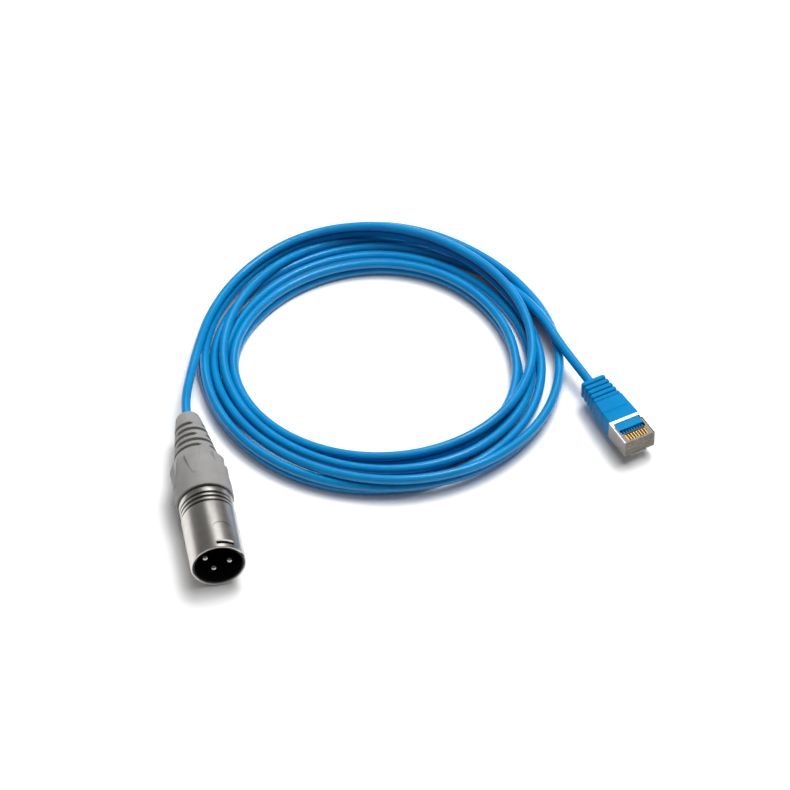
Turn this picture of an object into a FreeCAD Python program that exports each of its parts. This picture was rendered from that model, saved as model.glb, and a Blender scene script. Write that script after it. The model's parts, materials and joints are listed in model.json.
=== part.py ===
import FreeCAD, Part
import math
import os
import Sketcher
from FreeCAD import Placement, Rotation, Vector

# A slim data cable wound into a loose round coil. One end carries a male three-pin XLR connector
# with a screw-on boot, the other a shielded eight-way modular plug with a ribbed boot.
# Row frame: +Z up, the coil and the XLR boot rest on z = 0, and the origin is the middle of the
# floor rectangle that the two connectors span.

os.makedirs("parts", exist_ok=True)
doc = FreeCAD.newDocument("cable_coil")
sheet = doc.addObject("Spreadsheet::Sheet", "Sizes")

# Driving dimensions, in millimetres and degrees.
DIMENSIONS = {
    # cable
    "cable_radius": 1.6,
    "coil_outer_radius": 64.8,
    "coil_inner_radius": 44.0,
    "coil_height": 9.2,
    "coil_edge_bevel": 2.4,
    "coil_hole_shift_x": -0.8,
    "coil_hole_shift_y": -1.6,
    # XLR shell
    "shell_radius": 9.3,
    "socket_radius": 8.1,
    "liner_wall": 0.5,
    "rim_chamfer": 0.35,
    "rim_edge": 0.15,
    "barrel_length": 21.0,
    "ring_length": 7.0,
    "ring_radius": 9.1,
    "ring_groove_depth": 0.5,
    "ring_groove_width": 0.9,
    "ring_land": 1.5,
    "neck_radius": 8.0,
    "neck_length": 10.0,
    "neck_bore_radius": 6.6,
    "window_width": 6.2,
    "window_length": 1.9,
    "window_setback": 1.4,
    # XLR insert and pins
    "socket_depth": 15.5,
    "insert_thickness": 5.0,
    "insert_boss_radius": 6.4,
    "insert_boss_length": 4.5,
    "pin_radius": 1.2,
    "pin_circle_radius": 4.3,
    "pin_recess": 2.2,
    "pin_tip_round": 0.7,
    "cup_radius": 1.4,
    "cup_length": 2.5,
    "cup_bore_radius": 0.8,
    "cup_bore_depth": 2.2,
    "lug_thickness": 0.4,
    "lug_width": 2.4,
    "lug_inner_edge": 3.2,
    "lug_outer_edge": 6.4,
    "lug_leaf_length": 6.0,
    "wire_radius": 0.5,
    "wire_seat": 1.6,
    "wire_spread": 0.8,
    "wire_crank": 2.2,
    # XLR chuck and boot
    "jacket_start": 31.5,
    "chuck_start": 33.5,
    "chuck_radius": 6.1,
    "chuck_length": 16.5,
    "chuck_cone_length": 4.0,
    "chuck_cone_radius": 4.1,
    "chuck_bore_radius": 2.0,
    "chuck_slot": 1.2,
    "chuck_slot_length": 9.0,
    "boot_gap": 0.4,
    "boot_length": 68.0,
    "boot_mouth_radius": 9.7,
    "boot_radius": 9.8,
    "boot_crown_front": 35.0,
    "boot_crown_rear": 34.0,
    "boot_shoulder_radius": 9.1,
    "boot_shoulder": 22.0,
    "boot_relief_radius": 7.2,
    "boot_relief": 18.0,
    "boot_taper_radius": 5.3,
    "boot_taper": 6.5,
    "boot_tip_radius": 4.2,
    "boot_tip_edge": 1.4,
    "boot_end_radius": 3.2,
    "boot_tip_bore_radius": 2.3,
    "boot_tip_bore_length": 15.2,
    "boot_cone_radius": 4.5,
    "boot_cone": 17.0,
    "boot_inner_radius": 6.6,
    "boot_cavity": 21.4,
    "boot_thread_radius": 8.4,
    "boot_thread_overrun": 2.0,
    # modular plug
    "plug_width": 11.8,
    "plug_height": 6.8,
    "plug_nose_length": 10.6,
    "shield_thickness": 0.3,
    "shield_band": 1.3,
    "shield_side_strip": 0.9,
    "shield_tab_length": 1.4,
    "shield_lip": 0.35,
    "shield_seam": 0.16,
    "crimp_width": 8.6,
    "crimp_height": 5.2,
    "crimp_length": 7.4,
    "contact_pitch": 1.02,
    "contact_width": 0.5,
    "contact_height": 2.6,
    "contact_setback": 0.7,
    "contact_length": 3.0,
    "contact_recess": 0.2,
    "channel_front_wall": 1.0,
    "strand_radius": 0.48,
    "strand_height": 2.9,
    "bar_length": 4.4,
    "bar_width": 9.4,
    "bar_comb_length": 1.6,
    "bar_comb_height": 1.5,
    "latch_width": 6.0,
    "latch_tail_width": 3.3,
    "latch_thickness": 1.0,
    "latch_gap": 0.3,
    "latch_drop": 3.5,
    "latch_slot_length": 3.4,
    "latch_shoulder": 7.2,
    "latch_shoulder_top": 1.75,
    "latch_shoulder_bottom": 3.25,
    "latch_length": 12.6,
    "latch_tail_thickness": 0.7,
    "latch_root": 0.7,
    "latch_root_length": 1.6,
    # ribbed boot
    "cuff_length": 21.4,
    "cuff_front_width": 11.4,
    "cuff_rear_width": 9.0,
    "cuff_rear_height": 6.6,
    "cuff_rear_lift": 0.1,
    "cuff_rib_depth": 0.7,
    "cuff_rib_pitch": 2.2,
    "cuff_first_groove": 1.65,
    "cuff_groove_width": 0.88,
}

RIB_COUNT = 5
# How far a cut runs on past the face that it opens.
OVERCUT = 1.0

# Where the two connectors lie, in the row frame.
XLR_RIM = Vector(-64.03, -42.85, 9.8)
XLR_HEADING = 10.48
XLR_ROLL = 18.0
PLUG_NOSE = Vector(76.16, 14.28, 4.1)
PLUG_HEADING = 28.65
COIL_CENTRE = Vector(-11.9, 60.3, 0.0)

# Routes of the two stretches of cable that are not coiled, as runs joined by tangent arcs.
# Each starts at a connector's boot and ends inside the coil.
XLR_LEAD_ROUTE = [
    (-76.4, 24.02, 9.8),
    (-77.67, 30.9, 9.8),
    (-76.0, 46.5, 8.8),
    (-73.5, 62.0, 8.2),
    (-67.0, 81.0, 7.0),
]
PLUG_LEAD_ROUTE = [
    (60.82, 42.36, 7.5),
    (57.46, 48.5, 7.7),
    (50.8, 60.5, 8.1),
    (45.0, 74.5, 7.7),
    (37.6, 88.0, 7.0),
]

for row, (alias, number) in enumerate(DIMENSIONS.items(), start=1):
    sheet.set(f"A{row}", alias)
    sheet.set(f"B{row}", str(number))
    sheet.setAlias(f"B{row}", alias)
doc.recompute()


class Size:
    """A length that carries its value and the sheet expression that drives it."""

    def __init__(self, value, text):
        self.value = value
        self.text = text

    def __add__(self, other):
        other = as_size(other)
        return Size(self.value + other.value, f"({self.text} + {other.text})")

    def __sub__(self, other):
        other = as_size(other)
        return Size(self.value - other.value, f"({self.text} - {other.text})")

    def __mul__(self, factor):
        return Size(self.value * factor, f"{self.text} * {factor}")

    def __neg__(self):
        return Size(-self.value, f"(0 - {self.text})")


def as_size(number):
    if isinstance(number, Size):
        return number
    return Size(number, f"({number})")


class Dimensions:
    """Gives each driving dimension as a Size, by name."""

    def __getattr__(self, name):
        return Size(DIMENSIONS[name], f"Sizes.{name}")


dim = Dimensions()
subparts = []


def connector_frame(nose, heading, roll):
    """A frame at the front of a connector: local Z points out of it and local Y is its upper side."""
    angle = math.radians(heading)
    forward = Vector(math.sin(angle), -math.cos(angle), 0)
    across = Vector(math.cos(angle), math.sin(angle), 0)
    upright = Placement(nose, Rotation(across, Vector(0, 0, 1), forward, "ZXY"))
    return upright.multiply(Placement(Vector(), Rotation(Vector(0, 0, 1), -roll)))


XLR = connector_frame(XLR_RIM, XLR_HEADING, XLR_ROLL)
PLUG = connector_frame(PLUG_NOSE, PLUG_HEADING, 0.0)


def new_body(label, placement):
    body = doc.addObject("PartDesign::Body", label)
    body.Label = label
    body.Placement = placement
    subparts.append(body)
    return body


def new_sketch(body, plane, offset=0.0):
    """A sketch on one of the body's own origin planes, moved along the plane's normal."""
    sketch = body.newObject("Sketcher::SketchObject", f"{body.Label}_sketch")
    support = [item for item in body.Origin.OriginFeatures if item.Role == plane][0]
    sketch.AttachmentSupport = [(support, "")]
    sketch.MapMode = "FlatFace"
    offset = as_size(offset)
    sketch.AttachmentOffset = Placement(Vector(0, 0, offset.value), Rotation())
    sketch.setExpression("AttachmentOffset.Base.z", offset.text)
    return sketch


def fix_point(sketch, geometry, position, point):
    """Ties one point of the sketch to the origin by its two sheet-driven coordinates."""
    for kind, axis, coordinate in (("DistanceX", -2, point[0]), ("DistanceY", -1, point[1])):
        coordinate = as_size(coordinate)
        if coordinate.value == 0:
            sketch.addConstraint(Sketcher.Constraint("PointOnObject", geometry, position, axis))
            continue
        index = sketch.addConstraint(
            Sketcher.Constraint(kind, -1, 1, geometry, position, coordinate.value))
        sketch.setExpression(f"Constraints[{index}]", coordinate.text)


def outline(sketch, points):
    """A closed outline of straight edges."""
    corners = [Vector(as_size(px).value, as_size(py).value, 0) for px, py in points]
    count = len(corners)
    first = sketch.GeometryCount
    for index in range(count):
        sketch.addGeometry(Part.LineSegment(corners[index], corners[(index + 1) % count]), False)
    for index in range(count):
        following = first + (index + 1) % count
        sketch.addConstraint(Sketcher.Constraint("Coincident", first + index, 2, following, 1))
    for index, point in enumerate(points):
        fix_point(sketch, first + index, 1, point)


def circle(sketch, centre, radius):
    middle = Vector(as_size(centre[0]).value, as_size(centre[1]).value, 0)
    index = sketch.addGeometry(Part.Circle(middle, Vector(0, 0, 1), radius.value), False)
    rule = sketch.addConstraint(Sketcher.Constraint("Radius", index, radius.value))
    sketch.setExpression(f"Constraints[{rule}]", radius.text)
    fix_point(sketch, index, 3, centre)


def rectangle(sketch, low, high):
    outline(sketch, [low, (high[0], low[1]), high, (low[0], high[1])])


def feature(body, kind, sketch):
    item = body.newObject(kind, f"{body.Label}_{kind.split('::')[1].lower()}")
    item.Profile = sketch
    sketch.Visibility = False
    return item


def pad(body, sketch, length, midplane=False):
    item = feature(body, "PartDesign::Pad", sketch)
    item.setExpression("Length", as_size(length).text)
    item.Midplane = midplane
    return item


def pocket(body, sketch, depth, midplane=False):
    """Cuts against the sketch's normal, and checks that it took something away."""
    doc.recompute()
    before = body.Shape.Volume
    item = feature(body, "PartDesign::Pocket", sketch)
    item.setExpression("Length", as_size(depth).text)
    item.Midplane = midplane
    doc.recompute()
    if not body.Shape.Volume < before:
        raise RuntimeError(f"{body.Label}: a pocket removed nothing")
    return item


def turned(body, points):
    """A solid of revolution about local Z from an outline of (radius, height) points."""
    sketch = new_sketch(body, "XZ_Plane")
    outline(sketch, points)
    item = feature(body, "PartDesign::Revolution", sketch)
    item.ReferenceAxis = (sketch, ["V_Axis"])
    item.Angle = 360.0
    return item


def pin_places():
    """Pins 1 and 2 lie on a diameter of the pin circle and pin 3 below them."""
    reach = dim.pin_circle_radius
    return [(-reach, 0.0), (reach, 0.0), (0.0, -reach)]


# ---------------------------------------------------------------- XLR connector

SHOULDER = -(dim.socket_depth + dim.insert_thickness)
SHELL_BORE = dim.socket_radius + dim.liner_wall
BARREL_END = -dim.barrel_length
RING_END = BARREL_END - dim.ring_length
NECK_END = RING_END - dim.neck_length


def cut_latch_window(body):
    """The slot behind the rim, on the upper side, that a socket's latch drops into."""
    front = -dim.window_setback
    sketch = new_sketch(body, "XZ_Plane")
    half = dim.window_width * 0.5
    rectangle(sketch, (-half, front - dim.window_length), (half, front))
    pocket(body, sketch, dim.shell_radius + OVERCUT)


def make_shell():
    body = new_body("xlr_shell", XLR)
    groove = dim.ring_groove_width
    land = dim.ring_land
    groove_radius = dim.ring_radius - dim.ring_groove_depth
    first = BARREL_END
    second = first - groove - land
    turned(body, [
        (SHELL_BORE + dim.rim_chamfer, 0.0),
        (dim.shell_radius - dim.rim_edge, 0.0),
        (dim.shell_radius, -dim.rim_edge),
        (dim.shell_radius, BARREL_END),
        (groove_radius, first),
        (groove_radius, first - groove),
        (dim.ring_radius, first - groove),
        (dim.ring_radius, second),
        (groove_radius, second),
        (groove_radius, second - groove),
        (dim.ring_radius, second - groove),
        (dim.ring_radius, RING_END),
        (dim.neck_radius, RING_END),
        (dim.neck_radius, NECK_END),
        (dim.neck_bore_radius, NECK_END),
        (dim.neck_bore_radius, SHOULDER),
        (SHELL_BORE, SHOULDER),
        (SHELL_BORE, -dim.rim_chamfer),
    ])
    cut_latch_window(body)


def make_liner():
    body = new_body("xlr_liner", XLR)
    front = -dim.rim_chamfer
    turned(body, [
        (dim.socket_radius, -dim.socket_depth),
        (SHELL_BORE, -dim.socket_depth),
        (SHELL_BORE, front),
        (dim.socket_radius, front),
    ])
    cut_latch_window(body)


def make_insert():
    body = new_body("xlr_insert", XLR)
    face = -dim.socket_depth
    boss_end = SHOULDER - dim.insert_boss_length
    turned(body, [
        (0.0, face),
        (SHELL_BORE, face),
        (SHELL_BORE, SHOULDER),
        (dim.insert_boss_radius, SHOULDER),
        (dim.insert_boss_radius, boss_end),
        (0.0, boss_end),
    ])
    sketch = new_sketch(body, "XY_Plane", face)
    for place in pin_places():
        circle(sketch, place, dim.pin_radius)
    pocket(body, sketch, dim.insert_thickness + dim.insert_boss_length)
    return boss_end


def make_pins(cup_front):
    cup_end = cup_front - dim.cup_length
    for number, place in enumerate(pin_places(), start=1):
        offset = Placement(Vector(as_size(place[0]).value, as_size(place[1]).value, 0), Rotation())
        body = new_body(f"xlr_pin_{number}", XLR.multiply(offset))
        tip = -dim.pin_recess
        cup_floor = cup_end + dim.cup_bore_depth
        turned(body, [
            (0.0, tip),
            (dim.pin_radius - dim.pin_tip_round, tip),
            (dim.pin_radius - dim.pin_tip_round * 0.3, tip - dim.pin_tip_round * 0.3),
            (dim.pin_radius, tip - dim.pin_tip_round),
            (dim.pin_radius, cup_front),
            (dim.cup_radius, cup_front),
            (dim.cup_radius, cup_end),
            (dim.cup_bore_radius, cup_end),
            (dim.cup_bore_radius, cup_floor),
            (0.0, cup_floor),
        ])
    return cup_end


def make_contact_lug(insert_rear):
    """A bent strip on the back of the insert that bears on the neck and earths the shell."""
    body = new_body("xlr_earth_lug", XLR)
    sketch = new_sketch(body, "YZ_Plane")
    thick = dim.lug_thickness
    inner = dim.lug_inner_edge
    outer = dim.lug_outer_edge
    outline(sketch, [
        (inner, insert_rear),
        (outer, insert_rear),
        (outer, insert_rear - dim.lug_leaf_length),
        (outer - thick, insert_rear - dim.lug_leaf_length),
        (outer - thick, insert_rear - thick),
        (inner, insert_rear - thick),
    ])
    pad(body, sketch, dim.lug_width, midplane=True)


def make_chuck():
    """The split collet that grips the cable inside the boot."""
    body = new_body("xlr_chuck", XLR)
    front = -dim.chuck_start
    cone = front - dim.chuck_length + dim.chuck_cone_length
    rear = front - dim.chuck_length
    turned(body, [
        (dim.chuck_bore_radius, front),
        (dim.chuck_radius, front),
        (dim.chuck_radius, cone),
        (dim.chuck_cone_radius, rear),
        (dim.chuck_bore_radius, rear),
    ])
    half = dim.chuck_slot * 0.5
    reach = dim.chuck_radius + OVERCUT
    sketch = new_sketch(body, "XY_Plane", rear + dim.chuck_slot_length)
    rectangle(sketch, (-reach, -half), (reach, half))
    pocket(body, sketch, dim.chuck_slot_length + OVERCUT)
    sketch = new_sketch(body, "XY_Plane", rear + dim.chuck_slot_length)
    rectangle(sketch, (-half, -reach), (half, reach))
    pocket(body, sketch, dim.chuck_slot_length + OVERCUT)


def make_boot():
    """The grey screw-on boot: a wide cup over the threaded neck, then a tapered strain relief."""
    body = new_body("xlr_boot", XLR)
    mouth = RING_END - dim.boot_gap
    rear = -dim.boot_length
    thread_end = NECK_END - dim.boot_thread_overrun
    turned(body, [
        (dim.boot_thread_radius, mouth),
        (dim.boot_mouth_radius, mouth),
        (dim.boot_radius, rear + dim.boot_crown_front),
        (dim.boot_radius, rear + dim.boot_crown_rear),
        (dim.boot_shoulder_radius, rear + dim.boot_shoulder),
        (dim.boot_relief_radius, rear + dim.boot_relief),
        (dim.boot_taper_radius, rear + dim.boot_taper),
        (dim.boot_tip_radius, rear + dim.boot_tip_edge),
        (dim.boot_end_radius, rear),
        (dim.boot_tip_bore_radius, rear),
        (dim.boot_tip_bore_radius, rear + dim.boot_tip_bore_length),
        (dim.boot_cone_radius, rear + dim.boot_cone),
        (dim.boot_inner_radius, rear + dim.boot_cavity),
        (dim.boot_inner_radius, thread_end),
        (dim.boot_thread_radius, thread_end),
    ])


# ---------------------------------------------------------------- cable

def tube(label, points, radius, placement=Placement()):
    """A round cable along straight runs joined by tangent arcs, one arc at each inner point."""
    corners = [Vector(*point) for point in points]
    edges = []
    radii = []
    start = corners[0]
    for before, corner, after in zip(corners, corners[1:], corners[2:]):
        inward = (before - corner).normalize()
        outward = (after - corner).normalize()
        half_turn = (math.pi - inward.getAngle(outward)) / 2
        tangent = 0.45 * min((before - corner).Length, (after - corner).Length)
        bend = tangent / math.tan(half_turn)
        radii.append(bend)
        bisector = (inward + outward).normalize()
        centre = corner + bisector * (bend / math.cos(half_turn))
        arc_start = corner + inward * tangent
        arc_end = corner + outward * tangent
        edges.append(Part.LineSegment(start, arc_start).toShape())
        edges.append(Part.Arc(arc_start, centre - bisector * bend, arc_end).toShape())
        start = arc_end
    edges.append(Part.LineSegment(start, corners[-1]).toShape())
    path = Part.Wire(edges)
    section = Part.Wire(Part.makeCircle(radius, corners[0], corners[1] - corners[0]))
    item = doc.addObject("Part::Feature", label)
    item.Label = label
    item.Shape = path.makePipeShell([section], True, True)
    item.Placement = placement
    subparts.append(item)
    ratio = item.Shape.Volume / (math.pi * radius ** 2 * path.Length)
    print(label, "radii", [round(value, 1) for value in radii],
          "length", round(path.Length, 1), "volume ratio", round(ratio, 4))


def make_coil():
    """The outer shape of the wound turns: a flat ring, wider at the back than at the front."""
    body = new_body("cable_coil", Placement(COIL_CENTRE, Rotation()))
    sketch = new_sketch(body, "XY_Plane")
    circle(sketch, (0.0, 0.0), dim.coil_outer_radius)
    circle(sketch, (dim.coil_hole_shift_x, dim.coil_hole_shift_y), dim.coil_inner_radius)
    ring = pad(body, sketch, dim.coil_height)
    doc.recompute()
    top_edges = [
        f"Edge{index}" for index, edge in enumerate(ring.Shape.Edges, start=1)
        if len(edge.Vertexes) == 1 and abs(edge.BoundBox.ZMin - dim.coil_height.value) < 0.01]
    bevel = body.newObject("PartDesign::Chamfer", "cable_coil_bevel")
    bevel.Base = (ring, top_edges)
    bevel.setExpression("Size", dim.coil_edge_bevel.text)


def make_jacket_end(label, placement, across, front, rear):
    """The stripped cable's jacket inside a connector, straight along the connector's axis."""
    body = new_body(label, placement)
    sketch = new_sketch(body, "XY_Plane", rear)
    circle(sketch, across, dim.cable_radius)
    pad(body, sketch, front - rear)


def make_xlr_wires(cup_end):
    """Three insulated wires from the jacket's end out to the solder cups."""
    seat = cup_end.value + dim.wire_seat.value
    jacket = -dim.jacket_start.value
    middle = 0.5 * (cup_end.value + jacket)
    half_crank = 0.5 * dim.wire_crank.value
    for number, (px, py) in enumerate(pin_places(), start=1):
        far = Vector(as_size(px).value, as_size(py).value, 0)
        near = far * (dim.wire_spread.value / far.Length)
        route = [
            (far.x, far.y, seat),
            (far.x, far.y, middle + half_crank),
            (near.x, near.y, middle - half_crank),
            (near.x, near.y, jacket),
        ]
        tube(f"xlr_wire_{number}", route, dim.wire_radius.value, XLR)


# ---------------------------------------------------------------- modular plug

NOSE_END = -dim.plug_nose_length
PLUG_REAR = NOSE_END - dim.crimp_length
CABLE_HEIGHT = dim.plug_height * 0.5
CUFF_REAR = NOSE_END - dim.cuff_length
CONTACT_COUNT = 8


def contact_place(index):
    return dim.contact_pitch * (index - (CONTACT_COUNT - 1) / 2)


def make_shield():
    body = new_body("plug_shield", PLUG)
    half = dim.plug_width * 0.5
    thick = dim.shield_thickness
    inner_half = half - thick
    top = dim.plug_height
    sketch = new_sketch(body, "XY_Plane", NOSE_END)
    rectangle(sketch, (-half, 0.0), (half, top))
    rectangle(sketch, (-inner_half, thick), (inner_half, top - thick))
    pad(body, sketch, dim.plug_nose_length)
    crimp_half = dim.crimp_width * 0.5
    low = CABLE_HEIGHT - dim.crimp_height * 0.5
    high = CABLE_HEIGHT + dim.crimp_height * 0.5
    sketch = new_sketch(body, "XY_Plane", NOSE_END)
    rectangle(sketch, (-half, 0.0), (half, top))
    rectangle(sketch, (thick - crimp_half, low + thick), (crimp_half - thick, high - thick))
    pad(body, sketch, thick)
    sketch = new_sketch(body, "XY_Plane", PLUG_REAR)
    rectangle(sketch, (-crimp_half, low), (crimp_half, high))
    rectangle(sketch, (thick - crimp_half, low + thick), (crimp_half - thick, high - thick))
    pad(body, sketch, dim.crimp_length)
    # the open window over the contacts, and the gap under the nose for the latch root
    band_front = NOSE_END + dim.shield_band
    tab_front = band_front + dim.shield_tab_length
    for opening, start, end in (
        (half - dim.shield_side_strip, band_front, tab_front),
        (half - dim.shield_lip, tab_front, OVERCUT),
    ):
        sketch = new_sketch(body, "XZ_Plane", -top + thick * 2.0)
        rectangle(sketch, (-opening, start), (opening, end))
        pocket(body, sketch, thick * 4.0)
    # the seam where the folded sheet meets in the middle of the band
    seam = dim.shield_seam * 0.5
    sketch = new_sketch(body, "XZ_Plane", -top + thick)
    rectangle(sketch, (-seam, NOSE_END - OVERCUT), (seam, band_front + OVERCUT))
    pocket(body, sketch, thick * 2.0)
    latch_half = (dim.latch_width + dim.latch_gap) * 0.5
    root = new_sketch(body, "XZ_Plane")
    rectangle(root, (-latch_half, -dim.latch_slot_length), (latch_half, dim.latch_slot_length))
    pocket(body, root, thick * 2.0, midplane=True)


def make_plug_body():
    """The clear housing: wire channel from behind, eight contact slots and a bar window on top."""
    body = new_body("plug_housing", PLUG)
    half = dim.plug_width * 0.5 - dim.shield_thickness
    low = dim.shield_thickness
    high = dim.plug_height - dim.shield_thickness
    rear = NOSE_END + dim.shield_thickness
    sketch = new_sketch(body, "XY_Plane", rear)
    rectangle(sketch, (-half, low), (half, high))
    pad(body, sketch, -rear)
    channel_half = dim.bar_width * 0.5
    floor = dim.strand_height - dim.strand_radius
    wall = dim.channel_front_wall
    sketch = new_sketch(body, "XY_Plane", -wall)
    rectangle(sketch, (-channel_half, floor), (channel_half, floor + dim.strand_radius * 2.0))
    pocket(body, sketch, -rear - wall)
    bar_front = rear + dim.bar_length + dim.bar_comb_length
    sketch = new_sketch(body, "XY_Plane", bar_front)
    rectangle(sketch, (-channel_half, floor), (channel_half, high + OVERCUT))
    pocket(body, sketch, bar_front - rear)
    slot_half = dim.contact_width * 0.5
    front = -dim.contact_setback
    sketch = new_sketch(body, "XY_Plane", front)
    for index in range(CONTACT_COUNT):
        place = contact_place(index)
        rectangle(sketch, (place - slot_half, floor + dim.strand_radius),
                  (place + slot_half, high + OVERCUT))
    pocket(body, sketch, dim.contact_length)


def make_load_bar():
    """The blue bar that holds the wires in line, with a lower comb towards the contacts."""
    body = new_body("plug_load_bar", PLUG)
    half = dim.bar_width * 0.5
    rear = NOSE_END + dim.shield_thickness
    low = dim.strand_height + dim.strand_radius
    sketch = new_sketch(body, "XY_Plane", rear)
    rectangle(sketch, (-half, low), (half, dim.plug_height - dim.shield_thickness))
    pad(body, sketch, dim.bar_length)
    comb = new_sketch(body, "XY_Plane", rear + dim.bar_length)
    rectangle(comb, (-half, low), (half, low + dim.bar_comb_height))
    pad(body, comb, dim.bar_comb_length)


def make_contacts():
    """Gold blades that pierce the wires and show along the upper front edge."""
    front = -dim.contact_setback
    half = dim.contact_width * 0.5
    high = dim.plug_height - dim.shield_thickness - dim.contact_recess
    for index in range(CONTACT_COUNT):
        body = new_body(f"plug_contact_{index + 1}", PLUG)
        place = contact_place(index)
        sketch = new_sketch(body, "XY_Plane", front - dim.contact_length)
        rectangle(sketch, (place - half, high - dim.contact_height), (place + half, high))
        pad(body, sketch, dim.contact_length)


def make_strands():
    """The eight wires of the cable, side by side under the load bar."""
    rear = NOSE_END + dim.shield_thickness
    strands = []
    for index in range(CONTACT_COUNT):
        place = contact_place(index)
        base = Vector(place.value, dim.strand_height.value, rear.value)
        length = -rear.value - dim.channel_front_wall.value
        strands.append(Part.makeCylinder(dim.strand_radius.value, length, base, Vector(0, 0, 1)))
    item = doc.addObject("Part::Feature", "plug_wires")
    item.Label = "plug_wires"
    item.Shape = Part.makeCompound(strands)
    item.Placement = PLUG
    subparts.append(item)


def make_latch():
    """The spring tongue: rooted under the nose, sloping down and back, wide as far as its hooks."""
    body = new_body("plug_latch", PLUG)
    thick = dim.latch_thickness
    top = -dim.latch_gap
    bottom = top - thick
    root = -dim.latch_root
    shoulder = -dim.latch_shoulder
    sketch = new_sketch(body, "YZ_Plane")
    outline(sketch, [
        (top, root),
        (bottom, root),
        (-dim.latch_shoulder_bottom, shoulder),
        (-dim.latch_drop, -dim.latch_length),
        (-(dim.latch_drop - dim.latch_tail_thickness), -dim.latch_length),
        (-dim.latch_shoulder_top, shoulder),
        (top, root - dim.latch_root_length),
    ])
    pad(body, sketch, dim.latch_width, midplane=True)
    # the round edge that the tongue bends about
    pivot = new_sketch(body, "YZ_Plane")
    circle(pivot, ((top + bottom) * 0.5, root), thick * 0.5)
    pad(body, pivot, dim.latch_width, midplane=True)
    # the narrow tail behind the hooks
    near = dim.latch_tail_width * 0.5
    far = dim.latch_width
    for low, high in ((near, far), (-far, -near)):
        sides = new_sketch(body, "XZ_Plane")
        rectangle(sides, (low, -dim.latch_length - thick), (high, shoulder))
        pocket(body, sides, dim.latch_drop * 4.0, midplane=True)


def make_cuff():
    """The ribbed boot behind the plug, tapering to the cable."""
    body = new_body("plug_boot", PLUG)
    front = new_sketch(body, "XY_Plane", NOSE_END)
    half = dim.cuff_front_width * 0.5
    rectangle(front, (-half, 0.0), (half, dim.plug_height))
    rear = new_sketch(body, "XY_Plane", CUFF_REAR)
    half = dim.cuff_rear_width * 0.5
    rectangle(rear, (-half, dim.cuff_rear_lift), (half, dim.cuff_rear_height + dim.cuff_rear_lift))
    loft = body.newObject("PartDesign::AdditiveLoft", "plug_boot_loft")
    loft.Profile = front
    loft.Sections = [rear]
    loft.Ruled = True
    doc.recompute()
    crimp_half = dim.crimp_width * 0.5
    cavity = new_sketch(body, "XY_Plane", NOSE_END)
    low = CABLE_HEIGHT - dim.crimp_height * 0.5
    rectangle(cavity, (-crimp_half, low), (crimp_half, low + dim.crimp_height))
    pocket(body, cavity, dim.crimp_length)
    bore = new_sketch(body, "XY_Plane", PLUG_REAR)
    circle(bore, (0.0, CABLE_HEIGHT), dim.cable_radius)
    pocket(body, bore, dim.cuff_length)
    # ribs: grooves across the top and both sides of the rear half
    for index in range(RIB_COUNT):
        start = CUFF_REAR + dim.cuff_first_groove + dim.cuff_rib_pitch * index
        ridge = new_sketch(body, "XZ_Plane", -dim.plug_height + dim.cuff_rib_depth)
        rectangle(ridge, (-dim.plug_width, start), (dim.plug_width, start + dim.cuff_groove_width))
        pocket(body, ridge, dim.plug_height)


make_shell()
make_liner()
insert_rear = make_insert()
cup_end = make_pins(insert_rear)
make_contact_lug(insert_rear)
make_xlr_wires(cup_end)
make_chuck()
make_boot()
make_jacket_end("xlr_jacket_end", XLR, (0.0, 0.0), -dim.jacket_start, -dim.boot_length)
tube("xlr_lead", XLR_LEAD_ROUTE, dim.cable_radius.value)
make_coil()
tube("plug_lead", PLUG_LEAD_ROUTE, dim.cable_radius.value)
make_jacket_end("plug_jacket_end", PLUG, (0.0, CABLE_HEIGHT), NOSE_END - 1.0, CUFF_REAR)
make_strands()
make_shield()
make_plug_body()
make_load_bar()
make_contacts()
make_latch()
make_cuff()

doc.recompute()
for item in doc.Objects:
    if "Invalid" in item.State or "Error" in item.State:
        raise RuntimeError(f"{item.Label} did not build: {item.State}")
for item in subparts:
    if item.Shape.isNull() or not item.Shape.isValid():
        raise RuntimeError(f"{item.Label} has no valid solid")
    item.Shape.exportStep(f"parts/{item.Label}.step")
    box = item.Shape.BoundBox
    print(f"{item.Label:16s} solids {len(item.Shape.Solids)} volume {item.Shape.Volume:9.2f}",
          f"x {box.XMin:.2f} {box.XMax:.2f} y {box.YMin:.2f} {box.YMax:.2f}",
          f"z {box.ZMin:.2f} {box.ZMax:.2f}")
print(len(subparts), "sub-parts")
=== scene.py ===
import json
import math

import bmesh
import bpy
from mathutils import Matrix, Vector


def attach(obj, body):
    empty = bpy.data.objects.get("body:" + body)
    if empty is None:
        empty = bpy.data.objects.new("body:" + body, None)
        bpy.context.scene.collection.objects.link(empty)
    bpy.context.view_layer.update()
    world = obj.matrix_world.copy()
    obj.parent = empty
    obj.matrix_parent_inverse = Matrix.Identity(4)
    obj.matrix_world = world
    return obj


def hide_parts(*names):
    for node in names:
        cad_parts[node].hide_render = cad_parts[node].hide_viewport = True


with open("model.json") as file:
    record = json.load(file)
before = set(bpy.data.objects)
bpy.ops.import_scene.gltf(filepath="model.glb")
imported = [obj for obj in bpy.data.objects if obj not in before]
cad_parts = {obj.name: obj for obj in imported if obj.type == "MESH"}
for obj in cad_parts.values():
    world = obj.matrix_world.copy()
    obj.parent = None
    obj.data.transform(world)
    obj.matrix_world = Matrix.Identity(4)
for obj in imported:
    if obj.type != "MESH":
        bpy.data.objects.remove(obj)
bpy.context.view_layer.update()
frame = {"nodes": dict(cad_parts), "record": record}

scene = bpy.context.scene
record = frame["record"]
JOINTS = {joint["name"]: joint for joint in record["behaviour"]["joints"]}
MOUNTS = {mount["name"]: mount for mount in record["mounts"]}
MM = 0.001


# ---------------------------------------------------------------- camera, floor and light

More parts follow.
